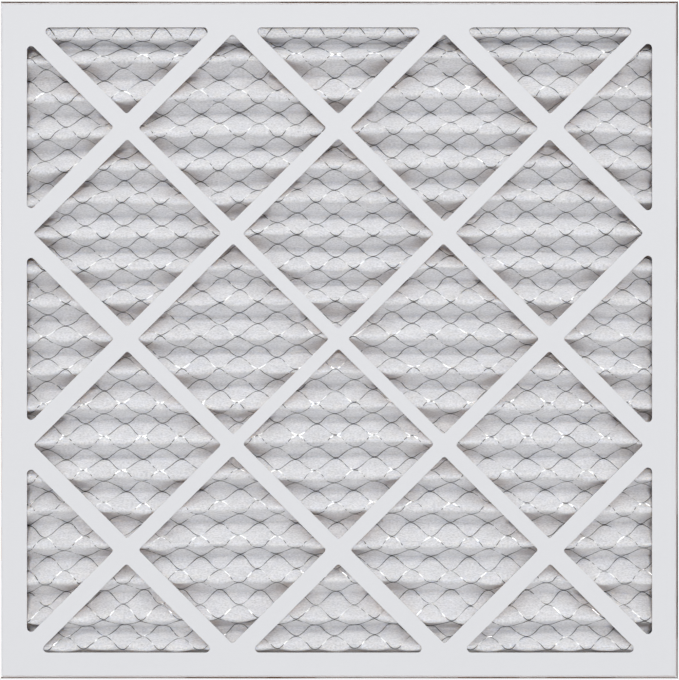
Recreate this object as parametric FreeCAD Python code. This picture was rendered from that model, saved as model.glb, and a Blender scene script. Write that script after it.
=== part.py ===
"""Pleated panel air filter: a folded board frame round a wire-backed pleated sheet.

The filter lies on its rear face with the air-leaving front face up. X runs along the pleats,
Y across them and Z from the rear face to the front face. The origin is the centre of the
rear face. All sizes are in millimetres.
"""

import math
import os

import FreeCAD
import Part

# Board frame, one die-cut blank that folds shut like a book with its spine on the left.
width = 495.0
height = 495.0
depth = 19.0
board = 0.7
fold_radius = 1.2
flap_slit = 0.4
flap_glue = 0.2
inner_flap_clear = 2.0
glue_line_margin = 2.5

# Windows cut in both faces, left between the strips of a diagonal lattice. The strips get
# wider from the centre of the board outwards.
border = 19.0
inner_strip = 9.9
middle_strip = 11.5
outer_strip = 13.2
lattice = 77.45
lattice_x = -0.8
lattice_y = 0.8
point_radius = 2.0
tip_radius = 3.0

# Pleated sheet.
sheet = 1.6
pleat_pitch = 25.4
pack_shift = 0.7
top_pleat = 18.0
bottom_pleat = 22.5
least_tail_past_bead = 2.0
crest_radius = 4.0
crest_steps = 4
valley_steps = 2
board_clear = 0.05

# Wire backing, one wavy strand beside the next, bonded where they touch.
strand_width = 0.9
strand_height = 0.45
opening_long = 47.0
bond_clear = 0.02
wire_inset = 3.0

# Hot-melt seals round the pleated sheet.
side_seal = 1.0
end_bead = 4.0
seal_clear = 0.1

# Places that follow from the sizes above.
half_w = width / 2
half_h = height / 2
fold_inside = max(fold_radius - board, 0.1)
front_right = half_w - board - flap_glue
front_end = half_h - board - flap_glue
room_left = -half_w + board
room_right = front_right - board
room_end = front_end - board
crest_z = depth - board - board_clear - strand_height - bond_clear
valley_z = board + board_clear + sheet
pack_room = 2 * (room_end - end_bead - least_tail_past_bead)
full_pleats = int((pack_room - pleat_pitch - top_pleat - bottom_pleat) // pleat_pitch)


def vector(x, y, z):
    return FreeCAD.Vector(x, y, z)


def block(x0, x1, y0, y1, z0, z1):
    """A box between two values on each axis."""
    return Part.makeBox(x1 - x0, y1 - y0, z1 - z0, vector(x0, y0, z0))


def round_edges(shape, radius, chosen):
    """Round the edges whose centre passes the test."""
    edges = [e for e in shape.Edges if chosen(e.CenterOfMass)]
    return shape.makeFillet(radius, edges)


# Board frame


def window_field():
    """The area inside the border, where the die cuts windows."""
    return half_w - border, half_h - border


def cell_reach(column, row, side_x, side_y):
    """How far a cell reaches along X or Y to the edge of the strip on one of its four sides."""
    ring = max(abs(column + side_x / 2), abs(row + side_y / 2))
    strips = [inner_strip, middle_strip, outer_strip]
    strip = strips[min(int(ring), len(strips) - 1)]
    return lattice - strip / math.sqrt(2)


def window_cell(column, row):
    """One cell of the lattice as a prism through the filter, cut off at the border."""
    field_x, field_y = window_field()
    x = lattice_x + column * lattice
    y = lattice_y + row * lattice
    low, high = -1.0, depth + 1.0
    right_up, left_up, left_down, right_down = (
        cell_reach(column, row, a, b) for a, b in ((1, 1), (-1, 1), (-1, -1), (1, -1))
    )
    left = vector(x - (left_up + left_down) / 2, y + (left_up - left_down) / 2, low)
    bottom = vector(x + (right_down - left_down) / 2, y - (right_down + left_down) / 2, low)
    right = vector(x + (right_up + right_down) / 2, y + (right_up - right_down) / 2, low)
    top = vector(x + (right_up - left_up) / 2, y + (right_up + left_up) / 2, low)
    outline = Part.makePolygon([left, bottom, right, top, left])
    cell = Part.Face(outline).extrude(vector(0, 0, high - low))
    inside = max(abs(left.x), abs(right.x)) < field_x and max(abs(top.y), abs(bottom.y)) < field_y
    if inside:
        return round_edges(cell, point_radius, lambda c: not left.x + 0.01 < c.x < right.x - 0.01)
    cell = cell.common(block(-field_x, field_x, -field_y, field_y, low, high))
    if cell.Volume < 0.2 * lattice * lattice * (high - low):
        return None
    middle = (low + high) / 2

    def on_border(c):
        upright = abs(c.z - middle) < 0.01
        return upright and (abs(abs(c.x) - field_x) < 0.01 or abs(abs(c.y) - field_y) < 0.01)

    return round_edges(cell, tip_radius, on_border)


def windows():
    """Every other lattice cell is a window, in a diamond pattern."""
    count = int(max(half_w, half_h) // lattice) + 1
    cells = []
    for column in range(-count, count + 1):
        for row in range(-count, count + 1):
            if (column + row) % 2 == 1:
                cells.append(window_cell(column, row))
    return [c for c in cells if c]


def rear_half():
    """Rear face, the outer flaps on three sides and the spine with its front fold."""

    def at_fold(c, x, z, top):
        rear = abs(c.z - z) < 0.01
        front_left = abs(c.x - x) < 0.01 and abs(c.z - top) < 0.01
        return rear or front_left

    outside = block(-half_w, half_w, -half_h, half_h, 0, depth)
    outside = round_edges(outside, fold_radius, lambda c: at_fold(c, -half_w, 0, depth))
    inside = block(room_left, half_w - board, -half_h + board, half_h - board, board, depth - board)
    inside = round_edges(
        inside, fold_inside, lambda c: at_fold(c, room_left, board, depth - board)
    )
    shell = outside.cut(inside)
    stub = -half_w + fold_radius
    lid = block(stub, half_w - board, -half_h + board, half_h - board, depth - board, depth + 1)
    shell = shell.cut(lid)
    slits = []
    for side in (-1, 1):
        edge = side * (half_h - board)
        y0, y1 = sorted((edge, edge - side * flap_slit))
        slits.append(block(-half_w - 1, stub, y0, y1, board, depth + 1))
        y0, y1 = sorted((edge, edge + side * (board + 1)))
        x1 = half_w - board
        slits.append(block(x1 - flap_slit, x1, y0, y1, board, depth + 1))
    return shell.cut(slits)


def front_half():
    """Front face with the inner flaps, which tuck in behind the outer ones."""
    left = -half_w + fold_radius
    low = board + inner_flap_clear

    def at_fold(c, right, end, top):
        return abs(c.z - top) < 0.01 and (abs(c.x - right) < 0.01 or abs(abs(c.y) - end) < 0.01)

    outside = block(left, front_right, -front_end, front_end, low, depth)
    outside = round_edges(outside, fold_radius, lambda c: at_fold(c, front_right, front_end, depth))
    inside = block(left - 1, room_right, -room_end, room_end, low - 1, depth - board)
    inside = round_edges(
        inside, fold_inside, lambda c: at_fold(c, room_right, room_end, depth - board)
    )
    shell = outside.cut(inside)
    slits = []
    for side in (-1, 1):
        y0, y1 = sorted((side * room_end, side * (front_end + 1)))
        top = depth - fold_radius
        slits.append(block(room_right - flap_slit, room_right, y0, y1, low - 1, top))
    return shell.cut(slits)


def frame():
    shape = rear_half().fuse(front_half()).removeSplitter()
    return shape.cut(windows())


def flap_glue_films():
    """The glue between each outer flap and the inner flap behind it."""
    z0 = board + inner_flap_clear + glue_line_margin
    z1 = depth - fold_radius - glue_line_margin
    x0 = -half_w + fold_radius + glue_line_margin
    x1 = front_right - glue_line_margin
    y1 = front_end - glue_line_margin
    return {
        "flap_glue_top": block(x0, x1, front_end, front_end + flap_glue, z0, z1),
        "flap_glue_bottom": block(x0, x1, -front_end - flap_glue, -front_end, z0, z1),
        "flap_glue_right": block(front_right, front_right + flap_glue, -y1, y1, z0, z1),
    }


# Pleated sheet


def crest_places():
    """Y of every crest, bottom to top: even pleats with one odd pleat at each end."""
    first = pack_shift - full_pleats * pleat_pitch / 2
    even = [first + i * pleat_pitch for i in range(full_pleats + 1)]
    return [even[0] - bottom_pleat] + even + [even[-1] + top_pleat]


def valley_places():
    """Y of every valley, with the turns into the two flat tails."""
    crests = crest_places()
    between = [(a + b) / 2 for a, b in zip(crests, crests[1:])]
    run = pleat_pitch / 2
    return [crests[0] - run] + between + [crests[-1] + run]


def flank(valley, crest):
    """Steepness of the flank that rises from a valley and meets a crest's curve."""
    across = abs(crest - valley)
    up = crest_z - crest_radius - valley_z
    return math.atan2(up, across) + math.asin(crest_radius / math.hypot(across, up))


def arc(a, b, c):
    """An arc through three points of the section."""
    return Part.Arc(*(vector(0, y, z) for y, z in (a, b, c))).toShape()


def line(a, b):
    return Part.makeLine(vector(0, *a), vector(0, *b))


def round_turn(y, z, radius, first, last, steps):
    """Points on a circle round (y, z), between two slopes of the sheet."""
    slopes = [first + (last - first) * i / steps for i in range(steps + 1)]
    return [(y + radius * math.sin(a), z + radius * math.cos(a)) for a in slopes]


def sheet_side(offset):
    """Section points of one side of the sheet, at a depth below its front side."""
    crests = crest_places()
    valleys = valley_places()
    tail = room_end - seal_clear
    centre_z = crest_z - crest_radius
    points = [(-tail, valley_z - offset)]
    for i, y in enumerate(valleys):
        fall = flank(y, crests[i - 1]) if i > 0 else 0.0
        rise = flank(y, crests[i]) if i < len(crests) else 0.0
        if offset > 0:
            points += round_turn(y, valley_z, -offset, fall, -rise, valley_steps)
        else:
            points.append((y, valley_z))
        if i < len(crests):
            over = flank(valleys[i + 1], crests[i])
            radius = crest_radius - offset
            points += round_turn(crests[i], centre_z, radius, -rise, over, crest_steps)
    points.append((tail, valley_z - offset))
    return points


def pleated_media():
    """The folded sheet, a section drawn across the pleats and drawn out along them."""
    left = room_left + side_seal
    right = room_right - side_seal
    outline = sheet_side(0.0) + sheet_side(sheet)[::-1]
    points = [vector(left, y, z) for y, z in outline]
    section = Part.Face(Part.makePolygon(points + points[:1]))
    return section.extrude(vector(right - left, 0, 0))


# Wire backing


def strand_folds():
    """Where a strand bends over the front of the sheet: Y, Z, whether it is a crest, and the
    two slopes beside the bend."""
    crests = crest_places()
    valleys = valley_places()
    folds = []
    for i, y in enumerate(crests):
        rise = flank(valleys[i], y)
        fall = flank(valleys[i + 1], y)
        folds.append((y - crest_radius * math.tan(rise / 2), crest_z, True, rise, 0.0))
        folds.append((y + crest_radius * math.tan(fall / 2), crest_z, True, 0.0, -fall))
        if i + 1 < len(crests):
            nxt = flank(valleys[i + 1], crests[i + 1])
            folds.append((valleys[i + 1], valley_z, False, -fall, nxt))
    return folds


def slide(point, direction, through, normal):
    """Move a point along a direction until it lies in a plane."""
    step = (through - point).dot(normal) / direction.dot(normal)
    return point + direction * step


def strand(x, swing):
    """One wavy strand of three-sided wire that follows the sheet over every pleat."""
    folds = strand_folds()
    spine = []
    for y, z, is_crest, before, after in folds:
        turn = (before + after) / 2
        lift = vector(0, -math.sin(turn), math.cos(turn))
        across = vector(0, math.cos(turn), math.sin(turn))
        place = vector(x + (swing if is_crest else -swing), y, z) + lift * bond_clear
        spine.append((place, lift, across, math.cos((after - before) / 2)))
    half = vector(strand_width / 2, 0, 0)
    first, lift, across, narrow = spine[0]
    rings = [[first - half, first + half, first + lift * (strand_height / narrow)]]
    for (a, _, _, _), (b, _, across, _) in zip(spine, spine[1:]):
        rings.append([slide(p, b - a, b, across) for p in rings[-1]])
    faces = [Part.Face(Part.makePolygon(rings[0] + rings[0][:1]))]
    faces.append(Part.Face(Part.makePolygon(rings[-1] + rings[-1][:1])))
    for near, far in zip(rings, rings[1:]):
        for i in range(3):
            j = (i + 1) % 3
            faces.append(Part.Face(Part.makePolygon([near[i], near[j], far[j], far[i], near[i]])))
    solid = Part.makeSolid(Part.makeShell(faces))
    if solid.Volume < 0:
        solid.reverse()
    return solid


def wire_backing():
    """Strands that swing to and fro, so each meets one neighbour at crests and the other in
    valleys and leaves a long opening between them."""
    left = room_left + side_seal + wire_inset
    right = room_right - side_seal - wire_inset
    pitch = opening_long / 2
    count = int((right - left) // pitch)
    start = (left + right) / 2 - (count - 1) * pitch / 2
    swing = pitch / 2 - strand_width / 2 - bond_clear
    turns = [swing if i % 2 == 0 else -swing for i in range(count)]
    return Part.makeCompound([strand(start + i * pitch, t) for i, t in enumerate(turns)])


# Seals


def side_seals():
    """Hot melt along the pleat ends, between the sheet and the frame's side walls."""
    z0 = board + fold_inside
    z1 = depth - board - fold_inside
    end = room_end - seal_clear
    return {
        "side_seal_left": block(room_left, room_left + side_seal, -end, end, z0, z1),
        "side_seal_right": block(room_right - side_seal, room_right, -end, end, z0, z1),
    }


def end_beads():
    """Quarter-round beads that close the corner between each tail and its wall."""
    beads = {}
    x0 = room_left + side_seal
    length = room_right - side_seal - x0
    for name, side in (("end_bead_top", 1), ("end_bead_bottom", -1)):
        wall = side * room_end
        toe = (wall - side * end_bead, valley_z)
        corner = (wall, valley_z)
        head = (wall, valley_z + end_bead)
        reach = end_bead * (1 - math.sqrt(0.5))
        middle = (wall - side * reach, valley_z + reach)
        edges = [line(toe, corner), line(corner, head), arc(head, middle, toe)]
        section = Part.Face(Part.Wire(edges))
        section.translate(vector(x0, 0, 0))
        beads[name] = section.extrude(vector(length, 0, 0))
    return beads


def main():
    parts = {
        "frame": frame(),
        "pleated_media": pleated_media(),
        "wire_backing": wire_backing(),
        **side_seals(),
        **end_beads(),
        **flap_glue_films(),
    }
    os.makedirs("parts", exist_ok=True)
    for name, shape in parts.items():
        shape.exportStep(f"parts/{name}.step")
        print(name, len(shape.Solids), shape.isValid(), round(shape.Volume / 1000, 2), "cm3")


main()
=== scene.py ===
"""Pleated panel air filter: a white board frame, folded from one blank, with diamond windows in
both faces, round a pleated nonwoven sheet that is backed with expanded metal on its front."""

import math

import bmesh
import bpy
import numpy as np
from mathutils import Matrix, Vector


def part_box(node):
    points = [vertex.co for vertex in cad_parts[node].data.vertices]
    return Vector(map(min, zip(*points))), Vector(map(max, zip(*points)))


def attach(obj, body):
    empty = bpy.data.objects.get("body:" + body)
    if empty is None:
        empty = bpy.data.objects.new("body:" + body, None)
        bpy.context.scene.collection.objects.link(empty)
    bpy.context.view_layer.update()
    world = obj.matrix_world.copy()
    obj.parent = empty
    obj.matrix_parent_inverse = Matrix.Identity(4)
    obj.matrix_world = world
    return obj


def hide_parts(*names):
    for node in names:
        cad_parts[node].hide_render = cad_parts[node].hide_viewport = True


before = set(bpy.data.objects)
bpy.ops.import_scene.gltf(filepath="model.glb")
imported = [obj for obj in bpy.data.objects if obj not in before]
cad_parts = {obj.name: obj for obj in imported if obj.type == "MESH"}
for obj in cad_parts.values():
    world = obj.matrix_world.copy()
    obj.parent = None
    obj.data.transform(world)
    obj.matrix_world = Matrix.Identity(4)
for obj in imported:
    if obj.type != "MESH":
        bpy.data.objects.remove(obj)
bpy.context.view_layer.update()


# Viewpoint
# The filter lies on its rear face, and the camera looks straight down on its front face from
# about 1.4 m, as the photograph looks straight at it.

PICTURE_HEIGHT = 680
FILTER_HEIGHT_IN_PICTURE = 677.1
CAMERA_ABOVE_FACE = 1.4


def add_object(name, data):
    """Put a mesh, a lamp or the camera in the scene."""
    made = bpy.data.objects.new(name, data)
    bpy.context.collection.objects.link(made)
    return made


low, high = (np.array(corner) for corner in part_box("frame"))
half_w, half_h = (high - low)[:2] / 2
depth = float(high[2])
seen_height = 2 * half_h * PICTURE_HEIGHT / FILTER_HEIGHT_IN_PICTURE

camera_data = bpy.data.cameras.new("camera")
camera_data.sensor_fit = "VERTICAL"
camera_data.angle = 2 * math.atan(seen_height / 2 / CAMERA_ABOVE_FACE)
camera = add_object("camera", camera_data)
camera.location = (0.0, 0.0, depth + CAMERA_ABOVE_FACE)
bpy.context.scene.camera = camera


# Board frame
# One die-cut blank of beverage board, white outside and brown kraft inside, folded shut like a
# book at the left. Its outer flaps wrap the other three sides with their raw ends showing, and
# the front face's flaps are tucked and glued behind them.

BOARD = 0.0007
FOLD = 0.0012
FLAP_GLUE = 0.0002
TUCKED = BOARD + FLAP_GLUE
FLAP_SLIT = 0.0004
INNER_FLAP_CLEAR = 0.002
FLAP_BOW = 0.00012
FLAP_DIP = 0.00007
FLAP_END = 0.9
FLAP_STEPS = 100
BORDER = 0.019
STRIPS = (0.0099, 0.0115, 0.0132)
LATTICE = 0.07745
LATTICE_CENTRE = (-0.0008, 0.0008)
CELLS_EACH_WAY = 3
TIP_RADIUS = 0.003
POINT_RADIUS = 0.002
CORNER_STEPS = 8
EDGE_ROUND = 0.00016
SAME_POINT = 1e-7

LINER, INSIDE, RAW_EDGE = 0.0, 0.5, 1.0
LEVEL, UPRIGHT = 0.9, 0.85
ROUNDED_OVER = 0.3
TURNED, TURNED_AT_SPINE = 0.05, 0.02
SPINE_DARKENS_FROM = -0.2
SPINE_DARKENING_GROWS_OVER = 0.25
SPINE_DARKENING_BREAKS = 0.3

WHITE_LINER = (0.784, 0.791, 0.818)
KRAFT = (0.54, 0.235, 0.08)
# The cut edge colour is partly the raw core and partly painted shade, darker than bare kraft.
KRAFT_CORE_AND_PAINTED_SHADE = (0.035, 0.027, 0.022)


def rounded_outline(corners, radii):
    """Corner points joined by straight runs, with an arc of the given radius at each corner.

    The arc's centre lies on the corner's bisector, radius / sin(half angle) from the corner.
    """
    corners = np.asarray(corners, float)
    points = []
    for i, (corner, radius) in enumerate(zip(corners, radii)):
        back = corners[i - 1] - corner
        ahead = corners[(i + 1) % len(corners)] - corner
        back /= np.linalg.norm(back)
        ahead /= np.linalg.norm(ahead)
        half = math.acos(np.clip(back @ ahead, -1, 1)) / 2
        bisector = (back + ahead) / np.linalg.norm(back + ahead)
        centre = corner + bisector * radius / math.sin(half)
        start = corner + back * radius / math.tan(half) - centre
        side = np.array([-start[1], start[0]])
        side *= np.sign(side @ (ahead - back))
        turn = np.linspace(0, math.pi - 2 * half, CORNER_STEPS)[:, None]
        points.append(centre + start * np.cos(turn) + side * np.sin(turn))
    return np.vstack(points)


def cell_corners(column, row):
    """Right, top, left and bottom corner of a lattice cell, between strips that get wider
    from the board's centre outwards.

    A side in the direction (a, b) is the line a x + b y = lattice - strip width / sqrt 2.
    """
    turns = [(1, 1), (-1, 1), (-1, -1), (1, -1)]
    rings = [int(max(abs(column + a / 2), abs(row + b / 2))) for a, b in turns]
    widths = [STRIPS[min(ring, len(STRIPS) - 1)] for ring in rings]
    reach = [LATTICE - width / math.sqrt(2) for width in widths]
    corners = []
    for (a, b), (c, d), one, two in zip(turns[-1:] + turns, turns, reach[-1:] + reach, reach):
        corners.append(np.linalg.solve([[a, b], [c, d]], [one, two]))
    return np.array(LATTICE_CENTRE) + np.array([column, row]) * LATTICE + corners


def cut_at_border(corners, field):
    """The part of a convex outline inside the field, and whether each corner is a new one."""
    points, new = list(corners), [False] * len(corners)
    for axis in (0, 1):
        for side in (1, -1):
            kept, fresh = [], []
            for i, point in enumerate(points):
                last = points[i - 1]
                a, b = field[axis] - side * last[axis], field[axis] - side * point[axis]
                if (a > 0) != (b > 0):
                    kept.append(last + (point - last) * a / (a - b))
                    fresh.append(True)
                if b > 0:
                    kept.append(point)
                    fresh.append(new[i])
            points, new = kept, fresh
    return points, new


def window_outlines():
    """Every other cell of the lattice, cut off at the border where it would run into it."""
    field = np.array([half_w - BORDER, half_h - BORDER])
    cells = range(-CELLS_EACH_WAY, CELLS_EACH_WAY + 1)
    outlines = []
    for column in cells:
        for row in cells:
            if (column + row) % 2:
                points, new = cut_at_border(cell_corners(column, row), field)
                radii = [TIP_RADIUS if fresh else POINT_RADIUS for fresh in new]
                outlines.append(rounded_outline(points, radii))
    return outlines


def read_rows(items, key):
    """A vector of every point or face of a mesh, as one row each."""
    values = np.zeros(len(items) * 3)
    items.foreach_get(key, values)
    return values.reshape(-1, 3)


def mesh_from(name, points, faces):
    mesh = bpy.data.meshes.new(name)
    mesh.from_pydata(np.asarray(points, float).reshape(-1, 3), [], faces)
    return mesh


def die_cut_face(name, corners, z):
    """A flat board face with the windows cut out and its cut edges slightly rounded over."""
    flat = bpy.data.curves.new(name, "CURVE")
    flat.dimensions = "2D"
    flat.fill_mode = "BOTH"
    flat.extrude = BOARD / 2 - EDGE_ROUND
    flat.bevel_depth = EDGE_ROUND
    flat.bevel_resolution = 1
    flat.offset = -EDGE_ROUND
    for outline in [np.asarray(corners, float)] + window_outlines():
        spline = flat.splines.new("POLY")
        spline.points.add(len(outline) - 1)
        rows = np.zeros((len(outline), 4))
        rows[:, :2] = outline
        rows[:, 3] = 1
        spline.points.foreach_set("co", rows.ravel())
        spline.use_cyclic_u = True
    holder = bpy.data.objects.new(name, flat)
    mesh = bpy.data.meshes.new_from_object(holder)
    bpy.data.objects.remove(holder)
    points = read_rows(mesh.vertices, "co")
    points[:, 2] += z
    mesh.vertices.foreach_set("co", points.ravel())
    return mesh


def quarter(centre, radius, first, last, steps=6):
    """Points of an arc in the board's section, by its angles in quarter turns."""
    turn = np.linspace(first, last, steps) * math.pi / 2
    return np.column_stack([centre[0] + radius * np.cos(turn), centre[1] + radius * np.sin(turn)])


def outer_flap_section():
    """Section of an outer flap: distance in from the outside, and height."""
    return np.vstack(
        [
            quarter((FOLD, FOLD), FOLD, 3, 2),
            quarter((EDGE_ROUND, depth - EDGE_ROUND), EDGE_ROUND, 2, 1, 3),
            quarter((BOARD - EDGE_ROUND, depth - EDGE_ROUND), EDGE_ROUND, 1, 0, 3),
            quarter((FOLD, FOLD), FOLD - BOARD, 2, 3),
        ]
    )


def inner_flap_section():
    """Section of an inner flap, hung from the front face's fold behind the outer flap."""
    tip = BOARD + INNER_FLAP_CLEAR
    centre = (TUCKED + FOLD, depth - FOLD)
    return np.vstack(
        [
            quarter(centre, FOLD, 1, 2),
            quarter((TUCKED + EDGE_ROUND, tip + EDGE_ROUND), EDGE_ROUND, 2, 3, 3),
            quarter((TUCKED + BOARD - EDGE_ROUND, tip + EDGE_ROUND), EDGE_ROUND, 3, 4, 3),
            quarter(centre, FOLD - BOARD, 2, 1),
        ]
    )


def spine_section():
    """Section of the spine with its two folds, from the rear face to the front face."""
    return np.vstack(
        [
            quarter((FOLD, FOLD), FOLD, 3, 2),
            quarter((FOLD, depth - FOLD), FOLD, 2, 1),
            quarter((FOLD, depth - FOLD), FOLD - BOARD, 1, 2),
            quarter((FOLD, FOLD), FOLD - BOARD, 2, 3),
        ]
    )


def soft_wave(along, seed):
    """A smooth uneven curve between about -1 and 1: sines whose lengths share no factor."""
    waves = [(0.217, 0.5), (0.131, 0.3), (0.071, 0.2), (0.0293, 0.12)]
    total = np.zeros_like(along)
    for i, (length, size) in enumerate(waves):
        total += size * np.sin(2 * math.pi * along / length + seed * (i + 1) * 1.7)
    return total


def flap(name, section, side, start, end, seed):
    """A section carried along one side of the frame, with the slight waves of folded board.

    side is the outward direction. The waves grow from nothing at the fold to their full size
    at the free end, in along the board's thickness and in its height.
    """
    along = np.linspace(start, end, FLAP_STEPS)[:, None]
    inward, height = section[:, 0][None], section[:, 1][None]
    free = np.clip(np.abs(height - section[0, 1]) / depth, 0, 1)
    inward = inward + FLAP_BOW * free * (1 + soft_wave(along, seed))
    height = height - FLAP_DIP * (free > FLAP_END) * (1 + soft_wave(along * 1.7, seed + 3))
    out = np.array([side[0], side[1], 0.0])
    run = np.array([-side[1], side[0], 0.0])
    up = np.array([0.0, 0.0, 1.0])
    reach = half_w if side[0] else half_h
    points = (
        out * (reach - inward)[..., None]
        + run * (along + 0 * inward)[..., None]
        + up * (height + 0 * along)[..., None]
    )
    return closed_band(name, points)


def closed_band(name, points):
    """Faces between closed rings of points, with both ends capped, for one band or for many
    alike ones."""
    rings, ring = points.shape[-3:-1]
    i, j = np.meshgrid(np.arange(rings - 1), np.arange(ring), indexing="ij")
    k = (j + 1) % ring
    faces = np.stack([i * ring + j, i * ring + k, (i + 1) * ring + k, (i + 1) * ring + j], -1)
    start = np.arange(points.size // (3 * rings * ring))[:, None, None] * rings * ring
    faces = (faces.reshape(1, -1, 4) + start).reshape(-1, 4)
    caps = np.stack([np.arange(ring)[::-1], np.arange((rings - 1) * ring, rings * ring)])
    caps = (caps[None] + start).reshape(-1, ring)
    return mesh_from(name, points, faces.tolist() + caps.tolist())


def join(name, meshes):
    """One object made of several meshes, with its faces turned outwards."""
    whole = bmesh.new()
    for mesh in meshes:
        whole.from_mesh(mesh)
        bpy.data.meshes.remove(mesh)
    bmesh.ops.remove_doubles(whole, verts=whole.verts, dist=SAME_POINT)
    bmesh.ops.recalc_face_normals(whole, faces=whole.faces)
    mesh = bpy.data.meshes.new(name)
    whole.to_mesh(mesh)
    whole.free()
    return add_object(name, mesh)


def folded_blank():
    """The closed frame: two die-cut faces, the spine, three outer flaps and three inner ones."""
    left, right, top = -half_w + FOLD, half_w - TUCKED - FOLD, half_h - TUCKED - FOLD
    front_corners = [(left, -top), (right, -top), (right, top), (left, top)]
    wide, tall = half_w - FOLD, half_h - FOLD
    rear_corners = [(-wide, -tall), (wide, -tall), (wide, tall), (-wide, tall)]
    outer_right, spine_end = half_w - BOARD - FLAP_SLIT, half_h - BOARD - FLAP_SLIT
    inner_right, inner_end = half_w - TUCKED, half_h - TUCKED
    outer, inner = outer_flap_section(), inner_flap_section()
    return join(
        "board_frame",
        [
            die_cut_face("front", front_corners, depth - BOARD / 2),
            die_cut_face("rear", rear_corners, BOARD / 2),
            flap("spine", spine_section(), (-1, 0), -spine_end, spine_end, 1),
            flap("outer_right", outer, (1, 0), -half_h, half_h, 2),
            flap("outer_top", outer, (0, 1), -outer_right, half_w, 3),
            flap("outer_bottom", outer, (0, -1), -half_w, outer_right, 4),
            flap("inner_right", inner, (1, 0), -inner_end, inner_end, 5),
            flap("inner_top", inner, (0, 1), -inner_right, half_w - FOLD, 6),
            flap("inner_bottom", inner, (0, -1), -half_w + FOLD, inner_right, 7),
        ],
    )


class Shade:
    """A shader socket that takes part in sums: each operator adds its Math node."""

    def __init__(self, tree, socket=None):
        self.tree = tree
        self.socket = socket

    def node(self, kind, settings=None, inputs=None, output=0):
        """Add a node: its settings first, then the values or links of its sockets."""
        made = self.tree.nodes.new(kind)
        for key, value in (settings or {}).items():
            if key == "stops":
                ramp = made.color_ramp.elements
                while len(ramp) < len(value):
                    ramp.new(0.5)
                for element, (place, colour) in zip(ramp, value):
                    element.position = place
                    element.color = colour
            else:
                setattr(made, key, value)
        for key, value in (inputs or {}).items():
            if isinstance(value, Shade):
                self.tree.links.new(value.socket, made.inputs[key])
            else:
                made.inputs[key].default_value = value
        return Shade(self.tree, made.outputs[output])

    def math(self, operation, *values):
        return self.node("ShaderNodeMath", {"operation": operation}, dict(enumerate(values)))

    def __add__(self, other):
        return self.math("ADD", self, other)

    __radd__ = __add__

    def __sub__(self, other):
        return self.math("SUBTRACT", self, other)

    def __rsub__(self, other):
        return self.math("SUBTRACT", other, self)

    def __mul__(self, other):
        return self.math("MULTIPLY", self, other)

    __rmul__ = __mul__

    def above(self, level, soft):
        """0 below a level and 1 above it, with a ramp of the given width between."""
        inputs = {"Value": self, "From Min": level - soft / 2, "From Max": level + soft / 2}
        return self.node("ShaderNodeMapRange", {}, inputs)

    def between(self, first, second):
        """A colour that goes from the first to the second as this value goes from 0 to 1."""
        inputs = {"Factor": self, "A": first, "B": second}
        return self.node("ShaderNodeMix", {"data_type": "RGBA"}, inputs, "Result")

    def place(self):
        return self.node("ShaderNodeTexCoord", output="Object")

    def mark(self, name):
        return self.node("ShaderNodeAttribute", {"attribute_name": name}, output="Fac")

    def noise(self, vector, scale, detail=3.0, rough=0.5, stretch=(1, 1, 1)):
        """Noise about 1 / scale metres across, drawn out by the stretch."""
        size = {"Vector": vector, "Scale": tuple(1 / s for s in stretch)}
        mapped = self.node("ShaderNodeMapping", {}, size)
        inputs = {"Vector": mapped, "Scale": scale, "Detail": detail, "Roughness": rough}
        return self.node("ShaderNodeTexNoise", {}, inputs, "Fac")

    def bump(self, height, distance, strength):
        """A normal from a height of 0 to 1, that stands for the given distance in metres."""
        inputs = {"Height": height, "Distance": distance, "Strength": strength}
        return self.node("ShaderNodeBump", {}, inputs)


def tint(colour, by=1.0):
    """A colour made darker or lighter, with the fourth value that a socket takes."""
    return tuple(min(c * by, 1) for c in colour) + (1.0,)


def new_material(name, **fixed):
    """A material, its surface shader and a Shade that adds nodes to it."""
    made = bpy.data.materials.new(name)
    made.use_nodes = True
    surface = made.node_tree.nodes["Principled BSDF"]
    for key, value in fixed.items():
        surface.inputs[key.replace("_", " ")].default_value = value
    return made, surface, Shade(made.node_tree)


def feed(shade, surface, **values):
    """Link Shades to the surface shader's sockets."""
    for key, value in values.items():
        shade.tree.links.new(value.socket, surface.inputs[key.replace("_", " ")])


def add_mark(mesh, name, domain, values):
    """Store a value for each face or point, which a material reads by the mark's name."""
    mesh.attributes.new(name, "FLOAT", domain).data.foreach_set("value", values)


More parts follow.
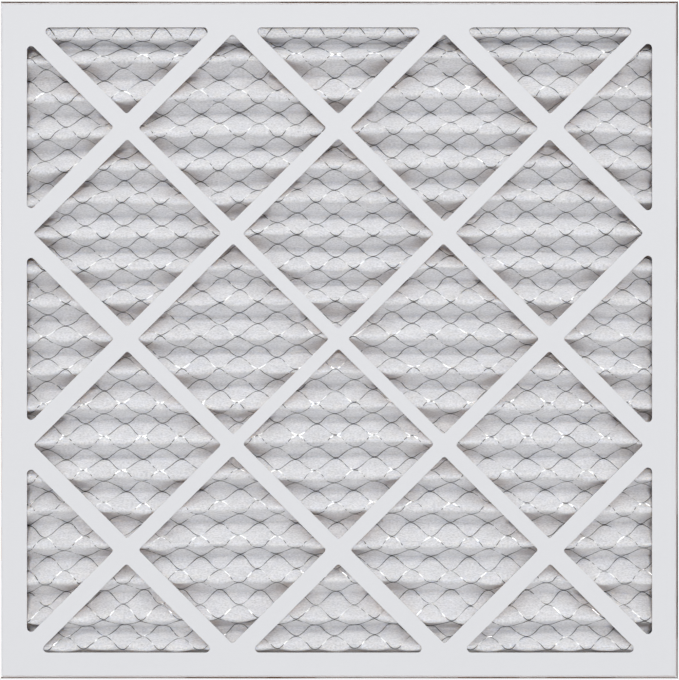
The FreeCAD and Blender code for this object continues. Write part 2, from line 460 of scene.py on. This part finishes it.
def board_sides(piece):
    """Mark each face of the board as white liner, kraft inside or raw cut edge, by its place and
    by how its normal leans. Along the spine's outer side next to the front face, the white gives
    way to kraft and then to the cut edge's colour, more so towards the top."""
    mesh = piece.data
    x, y, z = read_rows(mesh.polygons, "center").T
    aside, along, upward = read_rows(mesh.polygons, "normal").T
    from_side = np.minimum(half_w - np.abs(x), half_h - np.abs(y))
    from_face = np.minimum(z, depth - z)
    level = np.abs(upward) > LEVEL
    side = np.full(len(z), INSIDE)
    side[level & (from_face < BOARD * 0.3)] = LINER
    in_window = (from_side > BORDER * 0.9) & ~level
    side[in_window] = RAW_EDGE
    side[in_window & (from_face < EDGE_ROUND) & (np.abs(upward) > ROUNDED_OVER)] = LINER
    rim = from_side < TUCKED + FOLD
    sideways = np.maximum(np.abs(aside), np.abs(along)) > TURNED
    side[sideways & rim & (from_side < BOARD * 0.5)] = LINER
    side[(z < FOLD) & rim & (upward < -TURNED)] = LINER
    side[rim & (upward > TURNED) & (z > depth - FOLD) & (from_side > BOARD)] = LINER
    spine = (x < -half_w + FOLD) & (aside < -TURNED_AT_SPINE)
    side[spine] = LINER
    # Darker towards the top along the spine's outer side by the front fold.
    darkened_spine = spine & (aside < -UPRIGHT) & (z > depth - FOLD)
    spine_darkening = (y - SPINE_DARKENS_FROM) / SPINE_DARKENING_GROWS_OVER + SPINE_DARKENING_BREAKS * soft_wave(y * 3, 5)
    side[darkened_spine] = np.clip(spine_darkening, 0, 1)[darkened_spine]
    ends = (z > depth - EDGE_ROUND * 1.5) & (from_side < BOARD)
    side[ends & (x > -half_w + FOLD)] = RAW_EDGE
    add_mark(mesh, "side", "FACE", side)


def board_material():
    """White clay-coated liner with a faint mottle, brown kraft inside and a near-black cut
    edge, which is partly the raw core and partly painted shade.
    """
    made, surface, shade = new_material("beverage_board", Specular_IOR_Level=0.25)
    place = shade.place()
    side = shade.mark("side")
    mottle = shade.noise(place, 60.0, detail=4.0, rough=0.6)
    fibre = shade.noise(place, 900.0, rough=0.6, stretch=(4, 1, 1))
    grain = shade.noise(place, 700.0, detail=2.0, rough=0.6, stretch=(1, 1, 0.2))
    mixed = mottle * 0.5 + fibre * 0.5
    white = mixed.between(tint(WHITE_LINER, 0.975), tint(WHITE_LINER, 1.02))
    brown = fibre.between(tint(KRAFT, 0.8), tint(KRAFT, 1.15))
    core_and_shade = grain.between(tint(KRAFT_CORE_AND_PAINTED_SHADE), tint(KRAFT_CORE_AND_PAINTED_SHADE, 1.5))
    not_liner = side.above((LINER + INSIDE) / 2, 0.1)
    inside = side.above((INSIDE + RAW_EDGE) / 2, 0.1).between(brown, core_and_shade)
    feed(shade, surface, Base_Color=not_liner.between(white, inside))
    feed(shade, surface, Roughness=not_liner * 0.35 + mottle * 0.1 + 0.4)
    relief = fibre * 0.3 + shade.noise(place, 14.0, detail=2.0) * 0.7
    feed(shade, surface, Normal=shade.bump(relief, 0.0003, 0.25))
    return made


board_frame = folded_blank()
board_sides(board_frame)
board_frame.data.materials.append(board_material())
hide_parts("frame")
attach(board_frame, "root")


# Pleated sheet
# One nonwoven sheet, folded about an inch apart and never quite evenly. The wire on its front
# side holds the folds, and the soft sheet swells a little between the strands.

CRESTS = [-0.2249, -0.2039, -0.1755, -0.1497, -0.1237, -0.0998, -0.0739, -0.0486, -0.0229, 0.0023]
CRESTS += [0.0282, 0.0533, 0.0779, 0.1029, 0.1274, 0.1524, 0.1785, 0.2066, 0.2238]
VALLEYS = [-0.2370, -0.2129, -0.1867, -0.1600, -0.1346, -0.1103, -0.0860, -0.0587, -0.0342, -0.0086]
VALLEYS += [0.0166, 0.0423, 0.0666, 0.0910, 0.1159, 0.1414, 0.1673, 0.1951, 0.2179, 0.2357]
SHEET = 0.0016
SHEET_COLUMNS = 154
CREST_RADIUS = 0.0024
VALLEY_RADIUS = 0.0018
TOP_RUN = 0.006
TOP_RUN_SLOPE = math.radians(8)
TOP_RUN_RADIUS = 0.0014

ROW = 0.01334
OPENING_LONG = 0.0283
ROW_FROM_MIDDLE_CREST = 0.001
MIDDLE_CREST = 9
NODE_COLUMN = -0.074

SWELL = 0.0009
SWELL_POWER = 0.7
CREST_BULGE = 0.0008
CREST_BULGE_FROM = 0.004
ABOVE_CREST = 0.0003
UNDER_WIRE = 0.0001

UNEVEN_WAVES = 16
SWAY = 0.0006205
SWAY_SPAN = 0.2488
SWAY_END, SWAY_FADE = 0.238, 0.02
FOLD_WAVE = 0.00045
RELIEF = 0.0003
RELIEF_ABOVE_VALLEY = 0.003
RELIEF_END, RELIEF_END_FADE = 0.2458, 0.012
RELIEF_SIDE, RELIEF_SIDE_FADE = 0.2449, 0.02

NONWOVEN = (0.82, 0.82, 0.844)

media_low, media_high = (np.array(corner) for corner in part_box("pleated_media"))
crest_z = float(media_high[2])
valley_z = float(media_low[2]) + SHEET


def tangent_slope(across, up, radii):
    """Slope of the flank that touches a valley's bend and a crest's: atan(up / across) between
    their centres, plus asin(sum of the radii / distance)."""
    return math.atan2(up, across) + math.asin(radii / math.hypot(across, up))


def pleat_turns():
    """Each bend of the sheet in order: its centre, its radius, which is negative in a valley,
    and the slopes before and after it. The last crest runs on nearly level under the border."""
    crest_centre, valley_centre = crest_z - CREST_RADIUS, valley_z + VALLEY_RADIUS
    up, radii = crest_centre - valley_centre, CREST_RADIUS + VALLEY_RADIUS
    turns = []
    for i, valley in enumerate(VALLEYS):
        fall = tangent_slope(abs(valley - CRESTS[i - 1]), up, radii) if i > 0 else 0.0
        rise = tangent_slope(abs(valley - CRESTS[i]), up, radii) if i < len(CRESTS) else 0.0
        turns.append((valley, valley_centre, -VALLEY_RADIUS, fall, -rise))
        if i < len(CRESTS):
            over = tangent_slope(abs(VALLEYS[i + 1] - CRESTS[i]), up, radii)
            turns.append((CRESTS[i], crest_centre, CREST_RADIUS, -rise, over))
    slope, change = TOP_RUN_SLOPE, CREST_RADIUS - TOP_RUN_RADIUS
    y = CRESTS[-1] + change * math.sin(slope) + TOP_RUN * math.cos(slope)
    z = crest_centre + change * math.cos(slope) - TOP_RUN * math.sin(slope)
    fall = tangent_slope(VALLEYS[-1] - y, z - valley_centre, TOP_RUN_RADIUS + VALLEY_RADIUS)
    turns[-2] = (CRESTS[-1], crest_centre, CREST_RADIUS, turns[-2][3], slope)
    turns[-1] = (VALLEYS[-1], valley_centre, -VALLEY_RADIUS, fall, 0.0)
    turns.insert(-1, (y, z, TOP_RUN_RADIUS, slope, fall))
    return turns


def pleat_section(bend_steps, flank_steps):
    """The sheet's front side as Y, Z and slope, from the bottom tail to the top tail.

    A bend is (y + r sin b, z + r cos b) for slopes b from before to after it, and the straight
    flanks between bends keep their slope.
    """
    rows = [(float(media_low[1]), valley_z, 0.0)]
    for y, z, radius, first, last in pleat_turns():
        slopes = np.linspace(first, last, bend_steps + 1)
        bend = [(y + radius * math.sin(b), z + radius * math.cos(b), b) for b in slopes]
        start, finish = np.array(rows[-1]), np.array(bend[0])
        rows += [tuple(start + (finish - start) * k / flank_steps) for k in range(1, flank_steps)]
        rows += bend
    rows.append((float(media_high[1]), valley_z, 0.0))
    return np.array(rows)


def path_length(section):
    """How far each point of a section lies from its start, along the sheet."""
    return np.append(0, np.cumsum(np.hypot(*np.diff(section[:, :2], axis=0).T)))


fine_section = pleat_section(bend_steps=24, flank_steps=12)
unfolded = path_length(fine_section)
middle_crest = np.interp(CRESTS[MIDDLE_CREST], fine_section[:, 0], unfolded)
first_node = ROW_FROM_MIDDLE_CREST + float(middle_crest)


def on_section(s):
    """Y, Z and slope of the front side, for places along the unfolded section."""
    return [np.interp(s, unfolded, fine_section[:, column]) for column in range(3)]


def fade(distance, over):
    """0 up to a limit, 1 from the given distance past it, and even between."""
    return np.clip(distance / over, 0, 1)


def unevenness(x, s, length, seed, stretch=1.0):
    """Smooth random relief of about unit size: a sum of plane waves with seeded directions,
    lengths near the given one and phases, drawn out along X by the stretch."""
    rng = np.random.default_rng(seed)
    total = np.zeros(np.broadcast(x, s).shape)
    limits = (0, 0.6, 0), (2 * math.pi, 1.7, 2 * math.pi)
    for turn, size, phase in rng.uniform(*limits, (UNEVEN_WAVES, 3)):
        along = x * math.cos(turn) / stretch + s * math.sin(turn)
        total += np.sin(2 * math.pi * along / (length * size) + phase)
    return total / math.sqrt(UNEVEN_WAVES / 2)


def sway(x, y, s):
    """How far the pleats stand off their straight lines, in metres along Y.

    The slow part is a cubic in X and Y whose terms follow the way the real pack leans: down at
    its upper left and lower right. Each fold adds its own small waves.
    """
    a, b = x / SWAY_SPAN, -y / SWAY_SPAN
    lean = -0.67 * a + 4.36 * a * b - 2.33 * a * b * b + 2.08 * a * a - 3.68 * a**3 * b - 0.6
    return -SWAY * lean + FOLD_WAVE * unevenness(x, s, 0.055, seed=4, stretch=1.6)


def on_sheet(x, s, lift):
    """Points of the sheet for places along a pleat and along the unfolded section, raised by
    lift along the slope's normal. The flanks' relief and the sway end short of the rim."""
    y, z, slope = on_section(s)
    free = fade(z - valley_z, RELIEF_ABOVE_VALLEY) * fade(RELIEF_END - np.abs(y), RELIEF_END_FADE)
    size = fade(RELIEF_SIDE - np.abs(x), RELIEF_SIDE_FADE) * free * RELIEF
    lift = lift + size * unevenness(x, s, 0.03, seed=11, stretch=1.5) * np.sin(slope) ** 2
    y = y + np.sin(slope) * lift + sway(x, y, s) * fade(SWAY_END - np.abs(y), SWAY_FADE)
    z = z + np.cos(slope) * lift
    return np.stack([x + 0 * y, y, z], -1)


def strand_gap(x, s):
    """0 on every strand and 1 in the middle of every opening.

    It is half of |cos p + cos(pi u)|, where u counts rows from a node and p swings from 0 at
    the node columns to pi between them.
    """
    across = 0.5 * math.pi * (1 - np.cos(2 * math.pi * (x - NODE_COLUMN) / OPENING_LONG))
    return 0.5 * np.abs(np.cos(across) - np.cos(math.pi * (s - first_node) / ROW))


def swelling(x, s):
    """How far the sheet stands out between the strands."""
    fullness = 0.8 + 0.3 * unevenness(x, s, 0.04, seed=21)
    return SWELL * strand_gap(x, s) ** SWELL_POWER * fullness


def pleated_sheet():
    """The sheet as a grid of its front side and one of its back, closed at the rim."""
    s = path_length(pleat_section(bend_steps=4, flank_steps=4))
    s *= unfolded[-1] / s[-1]
    x = np.linspace(media_low[0], media_high[0], SHEET_COLUMNS)
    x, s = np.meshgrid(x, s, indexing="ij")
    front = on_sheet(x, s, swelling(x, s) - UNDER_WIRE)
    near_crest = fade(front[..., 2] - crest_z + CREST_BULGE_FROM, CREST_BULGE_FROM)
    front[..., 1] -= CREST_BULGE * near_crest * strand_gap(x, s) ** SWELL_POWER
    back = on_sheet(x, s, -SHEET)
    front[..., 2] = np.minimum(front[..., 2], crest_z + ABOVE_CREST)
    columns, rows = x.shape
    i, j = np.meshgrid(np.arange(columns - 1), np.arange(rows - 1), indexing="ij")
    corner = i * rows + j
    front_faces = np.stack([corner, corner + rows, corner + rows + 1, corner + 1], -1)
    count = columns * rows
    back_faces = front_faces[..., ::-1] + count
    around = np.concatenate(
        [
            np.arange(rows - 1),
            np.arange(columns - 1) * rows + rows - 1,
            (columns - 1) * rows + np.arange(rows - 1, 0, -1),
            np.arange(columns - 1, 0, -1) * rows,
        ]
    )
    ahead = np.roll(around, -1)
    rim = np.stack([around, ahead, ahead + count, around + count], -1)
    faces = np.concatenate([front_faces.reshape(-1, 4), back_faces.reshape(-1, 4), rim])
    mesh = mesh_from("pleated_nonwoven", np.concatenate([front, back]), faces.tolist())
    spread = np.stack([x, s], -1).reshape(-1, 2)
    spread = np.concatenate([spread, spread]).astype(np.float32)
    corners = np.zeros(len(mesh.loops), np.int32)
    mesh.loops.foreach_get("vertex_index", corners)
    mesh.uv_layers.new(name="unfolded").data.foreach_set("uv", spread[corners].ravel())
    mesh.polygons.foreach_set("use_smooth", np.ones(len(mesh.polygons), bool))
    return add_object("pleated_nonwoven", mesh)


def quilting(shade, flat):
    """strand_gap as shader nodes, with a sharper crease along the strands."""
    split = shade.node("ShaderNodeSeparateXYZ", {}, {"Vector": flat}).socket.node.outputs
    x, s = Shade(shade.tree, split["X"]), Shade(shade.tree, split["Y"])
    turn = (x - NODE_COLUMN) * (2 * math.pi / OPENING_LONG)
    across = (1 - shade.math("COSINE", turn)) * (math.pi / 2)
    along = (s - first_node) * (math.pi / ROW)
    apart = shade.math("COSINE", across) - shade.math("COSINE", along)
    return shade.math("POWER", shade.math("ABSOLUTE", apart) * 0.5, 0.4)


def nonwoven_material():
    """Off-white synthetic felt that light sinks into: fibres laid mostly along the pleats, faint
    cloudy density, and the quilted relief between the strands."""
    made, surface, shade = new_material(
        "nonwoven",
        Roughness=0.9,
        Subsurface_Weight=1.0,
        Subsurface_Radius=(1.0, 0.95, 0.86),
        Subsurface_Scale=0.0011,
    )
    flat = shade.node("ShaderNodeUVMap", {"uv_map": "unfolded"})
    fine = shade.noise(flat, 1000.0, detail=2.0, rough=0.6, stretch=(1.8, 1, 1))
    fibres = shade.noise(flat, 480.0, detail=4.0, rough=0.7, stretch=(3.5, 1, 1))
    tufts = shade.noise(flat, 240.0, detail=4.0, rough=0.65, stretch=(1.6, 1, 1))
    cloud = shade.noise(flat, 70.0, rough=0.6, stretch=(2.0, 1, 1))
    tone = fine * 0.5 + fibres * 0.2 + tufts * 0.14 + cloud * 0.16
    colour = tone.above(0.49, 0.26).between(tint(NONWOVEN, 0.75), tint(NONWOVEN, 1.14))
    feed(shade, surface, Base_Color=colour)
    quilt = quilting(shade, flat)
    relief = fine * 0.22 + fibres * 0.13 + tufts * 0.13 + cloud * 0.2 + quilt * 0.18
    feed(shade, surface, Normal=shade.bump(relief, 0.002, 0.85))
    return made


nonwoven = pleated_sheet()
nonwoven.data.materials.append(nonwoven_material())
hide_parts("pleated_media")
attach(nonwoven, "root")


# Wire backing
# Thin galvanised sheet, slit and stretched into long openings, bonded to the front of the
# nonwoven and folded with it. Each strand waves along a pleat and touches the next one at
# every bond.

STRAND_WIDTH = 0.0005
STRAND_THICK = 0.00034
STRAND_SHAPE = [(0.36, 0.5), (-0.36, 0.5), (-0.5, 0), (-0.3, -0.5), (0.3, -0.5), (0.5, 0)]
STRAND_RAISED = 0.4
STRAND_LEAN = 0.5
STRAND_TWIST = 0.07
STRAND_DRIFT = (0.0005, 0.00035)
POINTS_A_WAVE = 16
WIRE_INSET = 0.003
WIRE_END = 0.016
UNDER_BOARD = 0.00005

GLINT = (0.38, 0.38, 0.843)
STEEPEST_STRAND = 0.42
ROLL_FROM_SLOPE, ROLL_GROWS_OVER = 0.2, 0.3
MOST_ROLL = 1.1

ZINC_BASE_TONE, ZINC_TONE_VARIES = 0.42, 0.12
# A painted glint where the upper flank runs into a crest, and painted shade over crests and
# valleys.
PAINTED_GLINT, PAINTED_GLINT_VARIES = 0.6, 0.25
PAINTED_SHADE_DEPTH = 0.4
FLANK = 0.3
PAINTED_GLINT_FROM, PAINTED_GLINT_TO = 0.5, 5.5
PAINTED_GLINT_SLANT = 0.3
PAINTED_SHADE_ON_CREST = 1.2
PAINTED_SHADE_ON_LOWER_FLANK = 2.5
PAINTED_SHADE_IN_VALLEY = 12.5

# Zinc colours from painted shade, through plain grey, to a painted glint.
ZINC_PAINTED_SHADE = (0.03, 0.028, 0.027)
ZINC = (0.17, 0.168, 0.17)
ZINC_PALE = (0.45, 0.45, 0.455)
ZINC_PAINTED_GLINT = (1.0, 1.0, 1.0)


def expanded_metal():
    """All strands as flat-sided rods, carried along waves s = row + half a row times cos, and
    leaning as the slitting and stretching leaves them.

    Odd nodes lie in the node columns and even ones half an opening further.
    """
    begin, finish = float(media_low[0]) + WIRE_INSET, float(media_high[0]) - WIRE_INSET
    first = math.ceil((WIRE_END - first_node) / ROW)
    last = math.floor((unfolded[-1] - WIRE_END - first_node) / ROW)
    rows = np.arange(first, last)
    x = np.linspace(begin, finish, int((finish - begin) / OPENING_LONG * POINTS_A_WAVE))
    rows, x = np.meshgrid(rows, x, indexing="ij")
    turn = 2 * math.pi * (x - NODE_COLUMN) / OPENING_LONG
    swing = (ROW - STRAND_WIDTH) / 2 * np.where(rows % 2 == 0, -1.0, 1.0)
    s = first_node + (rows + 0.5) * ROW + swing * np.cos(turn)
    slant = np.arctan(-swing * np.sin(turn) * 2 * math.pi / OPENING_LONG)
    dx = STRAND_DRIFT[0] * unevenness(x, s, 0.06, seed=31)
    ds = STRAND_DRIFT[1] * unevenness(x, s, 0.03, seed=32)
    twist = strand_twist(s, slant) + STRAND_TWIST * unevenness(x, s, 0.012, seed=33)
    rings = []
    for across, above in STRAND_SHAPE:
        across, above = across * STRAND_WIDTH, above * STRAND_THICK
        off = across * np.cos(twist) - above * np.sin(twist)
        level = across * np.sin(twist) + above * np.cos(twist) + STRAND_THICK * STRAND_RAISED
        rings.append(on_sheet(x + dx - off * np.sin(slant), s + ds + off * np.cos(slant), level))
    points = np.stack(rings, 2)
    points[..., 2] = np.minimum(points[..., 2], depth - BOARD - UNDER_BOARD)
    mesh = closed_band("strands", points)
    # The mark holds the strands' random tone with painted glints and painted shade.
    add_mark(mesh, "polish", "POINT", np.repeat(polish(x, s, slant), len(rings)))
    return join("expanded_metal", [mesh])


def strand_twist(s, slant):
    """How far each strand is rolled about its own line. On the upper flanks its flat side turns
    up to the lamps, which is atan2(-g.c, g.n) for the direction g halfway between lamp and
    camera, the strand's crosswise direction c and the flank's normal n."""
    slope = on_section(s)[2]
    aside = GLINT[0] * np.clip(np.sin(slant) / STEEPEST_STRAND, -1, 1)
    across = GLINT[1] * np.cos(slope) - GLINT[2] * np.sin(slope)
    crosswise = np.cos(slant) * across - np.sin(slant) * aside
    upright = GLINT[1] * np.sin(slope) + GLINT[2] * np.cos(slope)
    share = fade(slope - ROLL_FROM_SLOPE, ROLL_GROWS_OVER)
    roll = np.clip(np.arctan2(-crosswise, upright), 0, MOST_ROLL)
    return STRAND_LEAN * (1 - share) + roll * share


def polish(x, s, slant):
    """How bright the zinc is painted, from 0 to 1: a random tone, with a painted glint on the
    slanting part of a strand where the upper flank runs into a crest, and painted shade over the
    crest and at the bottom of a valley.

    The zones are given in millimetres below the crests.
    """
    z, slope = on_section(s)[1:]
    below = (crest_z - z) * 1000
    chance = unevenness(x, s, 0.009, seed=34)
    painted_glint = (slope > FLANK) * fade(below - PAINTED_GLINT_FROM, 0.4) * fade(PAINTED_GLINT_TO - below, 2)
    painted_glint *= fade(np.abs(slant) - PAINTED_GLINT_SLANT, 0.1)
    painted_shade = fade(PAINTED_SHADE_ON_CREST - below, 0.6) * (slope < 0.5) + fade(below - PAINTED_SHADE_IN_VALLEY, 1)
    painted_shade = np.maximum(painted_shade, (slope < -FLANK) * fade(PAINTED_SHADE_ON_LOWER_FLANK - below, 1))
    bright = ZINC_BASE_TONE + ZINC_TONE_VARIES * chance + painted_glint * (PAINTED_GLINT + PAINTED_GLINT_VARIES * chance)
    return np.clip(bright - painted_shade * PAINTED_SHADE_DEPTH, 0, 1)


def galvanised_material():
    """Zinc on thin steel: dull grey, with painted shade that makes it blackish in the folds and a
    painted glint that makes it white near the crests.
    """
    made, surface, shade = new_material("galvanised_wire", Metallic=1.0)
    cloud = shade.noise(shade.place(), 400.0)
    painted_light_and_tone = shade.mark("polish") + (cloud - 0.5) * 0.3
    # The darkest stop is painted shade and the white one a painted glint.
    colours = zip((0.0, 0.4, 0.62, 0.85), (ZINC_PAINTED_SHADE, ZINC, ZINC_PALE, ZINC_PAINTED_GLINT))
    stops = [(place, tint(colour)) for place, colour in colours]
    colour = shade.node("ShaderNodeValToRGB", {"stops": stops}, {"Fac": painted_light_and_tone})
    feed(shade, surface, Base_Color=colour, Roughness=cloud * 0.1 + 0.27)
    return made


wire = expanded_metal()
wire.data.materials.append(galvanised_material())
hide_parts("wire_backing")
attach(wire, "root")


# Seals
# Milky hot melt along the pleat ends and under the tails, and thin glue films between the
# flaps. They are hidden inside the frame and keep their modelled solids.


def glue_material(name, colour, rough):
    made, surface, shade = new_material(name, Coat_Weight=0.2)
    streak = shade.noise(shade.place(), 180.0, stretch=(3, 3, 1))
    feed(shade, surface, Base_Color=streak.between(tint(colour, 0.85), tint(colour, 1.1)))
    feed(shade, surface, Roughness=streak * 0.2 + rough)
    feed(shade, surface, Normal=shade.bump(streak, 0.0004, 0.5))
    return made


hot_melt = glue_material("hot_melt", (0.78, 0.74, 0.62), 0.3)
glue_film = glue_material("glue_film", (0.7, 0.66, 0.58), 0.4)
for name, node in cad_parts.items():
    if "seal" in name or "bead" in name or "glue" in name:
        finish = glue_film if "glue" in name else hot_melt
        for slot in node.material_slots:
            slot.material = finish


# Floor and light
# A pale floor that shows white behind the filter and keeps its shadow. Far soft lamps stand
# overhead and beyond the top edge, with pairs left and right of it at two heights, and a weak
# wide one shines from the near side.

AMBIENT = 0.24
FLOOR_SIZE = 6.0
FLOOR_SHADE = 0.85
WHITE = (1, 1, 1, 1)
SUNS = [
    ("overhead", 0, 79, 0.35, 12),
    ("top", 0, 52, 0.08, 9),
    ("near_side", 180, 36, 0.19, 40),
    ("top_left", -45, 36, 0.11, 9),
    ("top_right", 45, 36, 0.11, 9),
    ("low_left", -45, 18, 0.06, 25),
    ("low_right", 45, 18, 0.06, 25),
]


def seen_directly(shade):
    """1 for rays from the camera or from a mirror or glass, and 0 for light on a surface."""
    ray = shade.node("ShaderNodeLightPath").socket.node.outputs
    kinds = ("Is Camera Ray", "Is Glossy Ray", "Is Transmission Ray")
    direct, mirrored, through = (Shade(shade.tree, ray[kind]) for kind in kinds)
    return shade.math("MINIMUM", direct + mirrored + through, 1.0)


def floor():
    """A wide floor whose shading mixes with plain white where it is seen."""
    edge = FLOOR_SIZE / 2
    points = [(-edge, -edge, 0), (edge, -edge, 0), (edge, edge, 0), (-edge, edge, 0)]
    mesh = mesh_from("floor", points, [[0, 1, 2, 3]])
    piece = add_object("floor", mesh)
    made, surface, shade = new_material("floor", Base_Color=(0.88, 0.88, 0.88, 1), Roughness=0.8)
    white = shade.node("ShaderNodeEmission", {}, {"Color": WHITE, "Strength": 1.0})
    lit = Shade(shade.tree, surface.outputs["BSDF"])
    inputs = {0: seen_directly(shade) * FLOOR_SHADE, 1: lit, 2: white}
    blend = shade.node("ShaderNodeMixShader", {}, inputs)
    shade.tree.links.new(blend.socket, shade.tree.nodes["Material Output"].inputs["Surface"])
    mesh.materials.append(made)


def sun(name, azimuth, elevation, share, spread):
    """A far lamp, placed by its degrees from +Y towards +X and above the floor. A white surface
    that faces it alone renders at the given share of white."""
    data = bpy.data.lights.new(name, "SUN")
    data.energy = math.pi * share
    data.angle = math.radians(spread)
    made = add_object(name, data)
    made.rotation_euler = (math.radians(elevation - 90), 0, math.radians(-azimuth))


def sky():
    """An even pale world, white where the camera or a reflection sees it."""
    world = bpy.data.worlds.new("studio")
    bpy.context.scene.world = world
    world.use_nodes = True
    tree = world.node_tree
    tree.nodes.clear()
    shade = Shade(tree)
    strength = seen_directly(shade) * (1 - AMBIENT) + AMBIENT
    light = shade.node("ShaderNodeBackground", {}, {"Color": WHITE, "Strength": strength})
    out = tree.nodes.new("ShaderNodeOutputWorld")
    tree.links.new(light.socket, out.inputs["Surface"])


floor()
sky()
for lamp in SUNS:
    sun(*lamp)

bpy.context.scene.view_settings.view_transform = "Standard"
